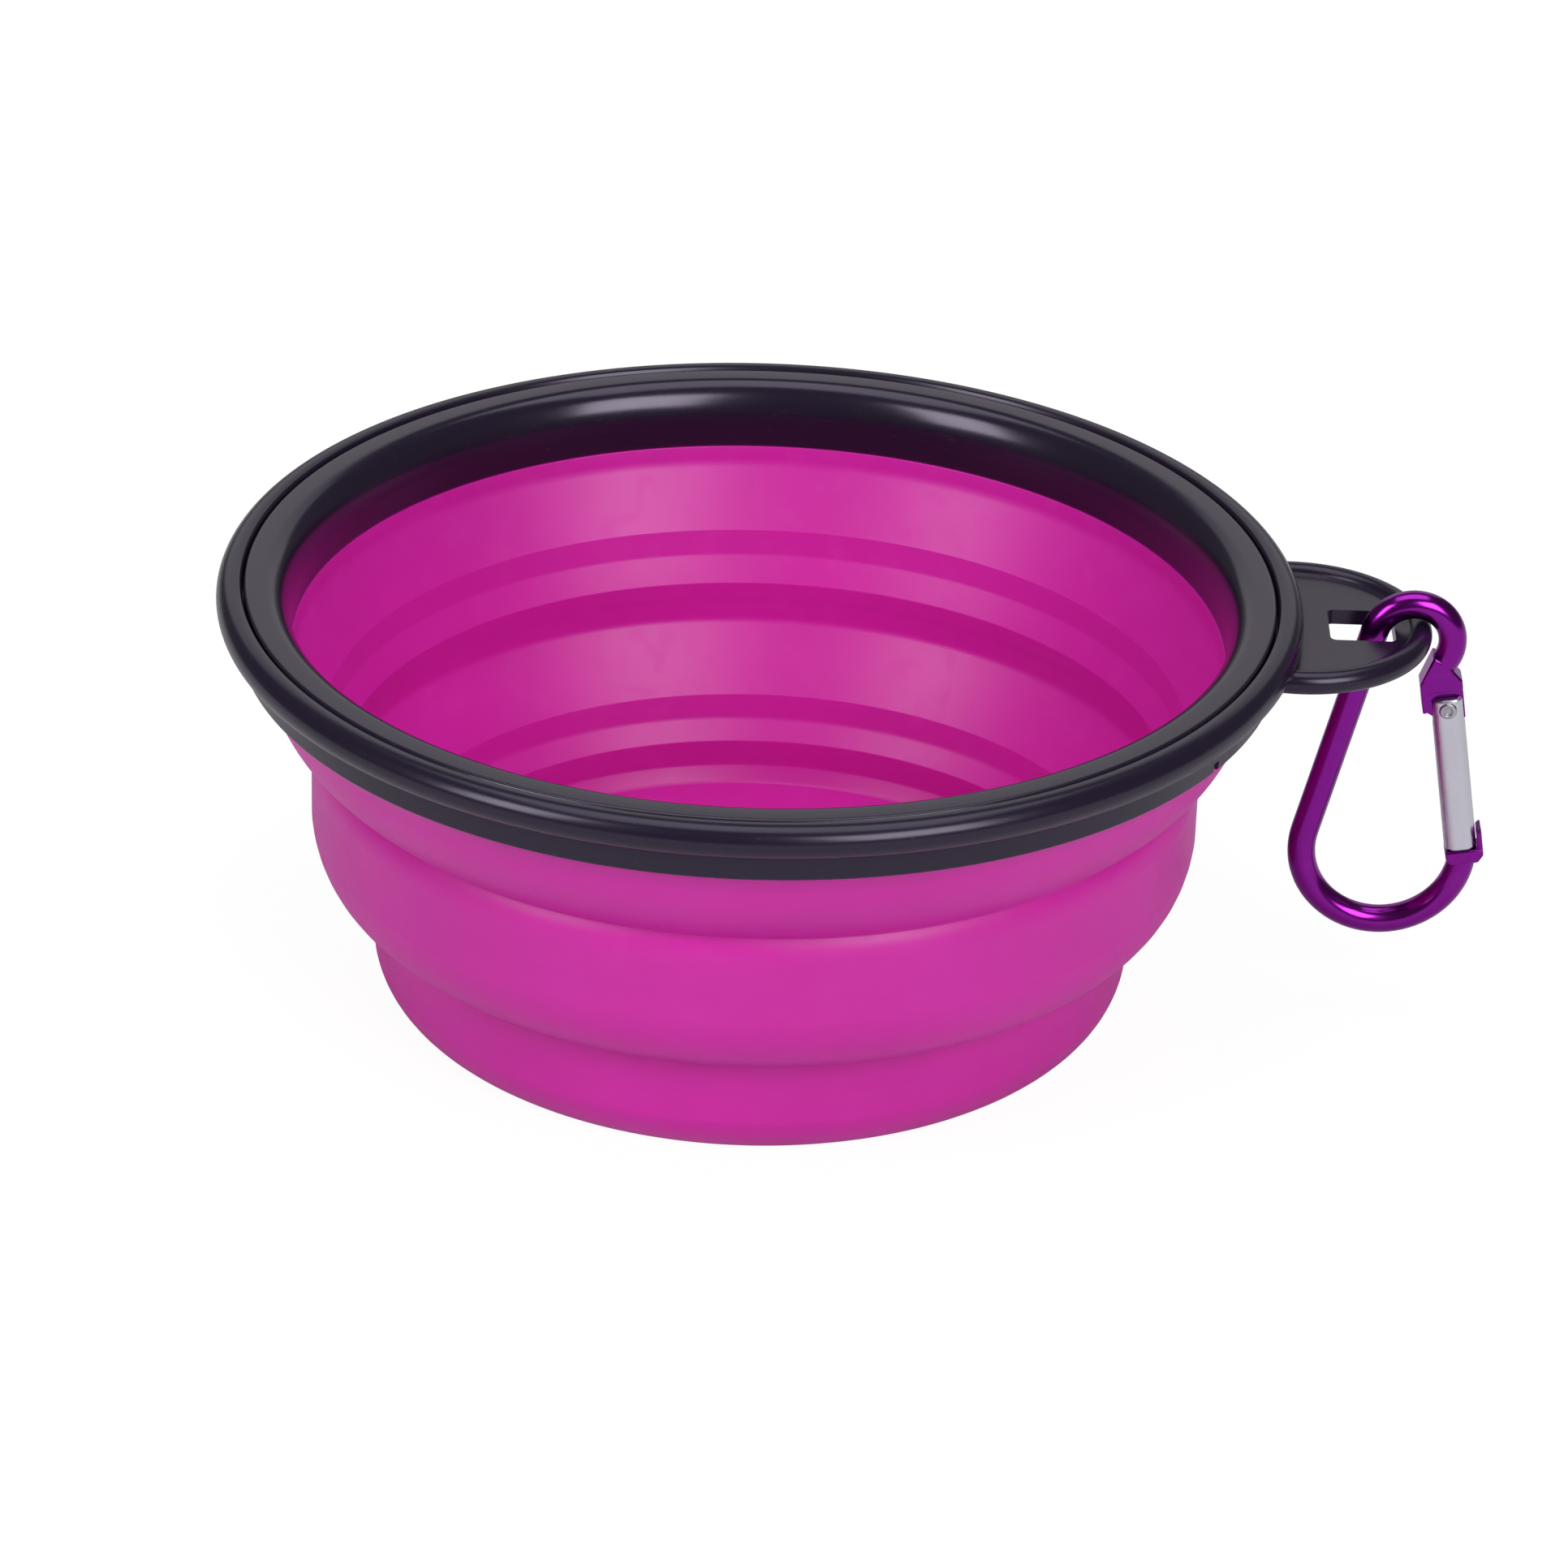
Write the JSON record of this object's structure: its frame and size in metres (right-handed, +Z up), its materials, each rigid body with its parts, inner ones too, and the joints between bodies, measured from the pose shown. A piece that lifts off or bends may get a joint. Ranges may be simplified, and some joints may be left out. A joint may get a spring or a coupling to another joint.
{
  "type": "collapsible pet bowl",
  "caption": "Collapsible silicone travel bowl for pets, folding flat in tiers, with a plastic rim, a slotted hanging tab and a snap hook.",
  "frame": {"origin": "on the bowl's axis at the underside of its base", "axes": "+Z up out of the bowl's mouth, +X to the hanging tab and snap hook, +Y to the bowl's far side in the picture"},
  "size_m": [0.154, 0.13, 0.055],
  "materials": {
    "rim_plastic": "satin black plastic",
    "silicone": "matte magenta silicone rubber",
    "anodised": "glossy purple anodised aluminium",
    "bare_aluminium": "bare satin aluminium",
    "steel": "plain steel"
  },
  "bodies": {
    "base": {"base_cup": "silicone", "lower_fold": "silicone"},
    "tier": {"middle_tier": "silicone", "upper_fold": "silicone"},
    "rim": {"rim_outer_ring": "rim_plastic", "rim_inner_ring": "rim_plastic", "bowl_flange": "silicone"},
    "hook": {"carabiner_body": "anodised"},
    "gate": {"carabiner_gate": "bare_aluminium", "gate_rivet": "steel", "gate_spring": "steel", "gate_plunger": "steel"}
  },
  "joints": [
    {"name": "lower_collapse", "type": "slide", "parent": "base", "child": "tier", "axis": [0, 0, -1], "range_m": [0, 0.0184], "deforming": ["lower_fold"]},
    {"name": "upper_collapse", "type": "slide", "parent": "tier", "child": "rim", "axis": [0, 0, -1], "range_m": [0, 0.0196], "deforming": ["upper_fold"]},
    {"name": "hook_swing", "type": "hinge", "parent": "rim", "child": "hook", "pos_m": [0.0784, 0, 0.04855], "axis": [0, -1, 0], "range_deg": [-20, 90]},
    {"name": "gate_turn", "type": "hinge", "parent": "hook", "child": "gate", "pos_m": [0.08318, 0, 0.04005], "axis": [0, 1, 0], "range_deg": [0, 30], "stiffness_Nm_per_rad": 0.08, "springref_deg": -11.46}
  ]
}
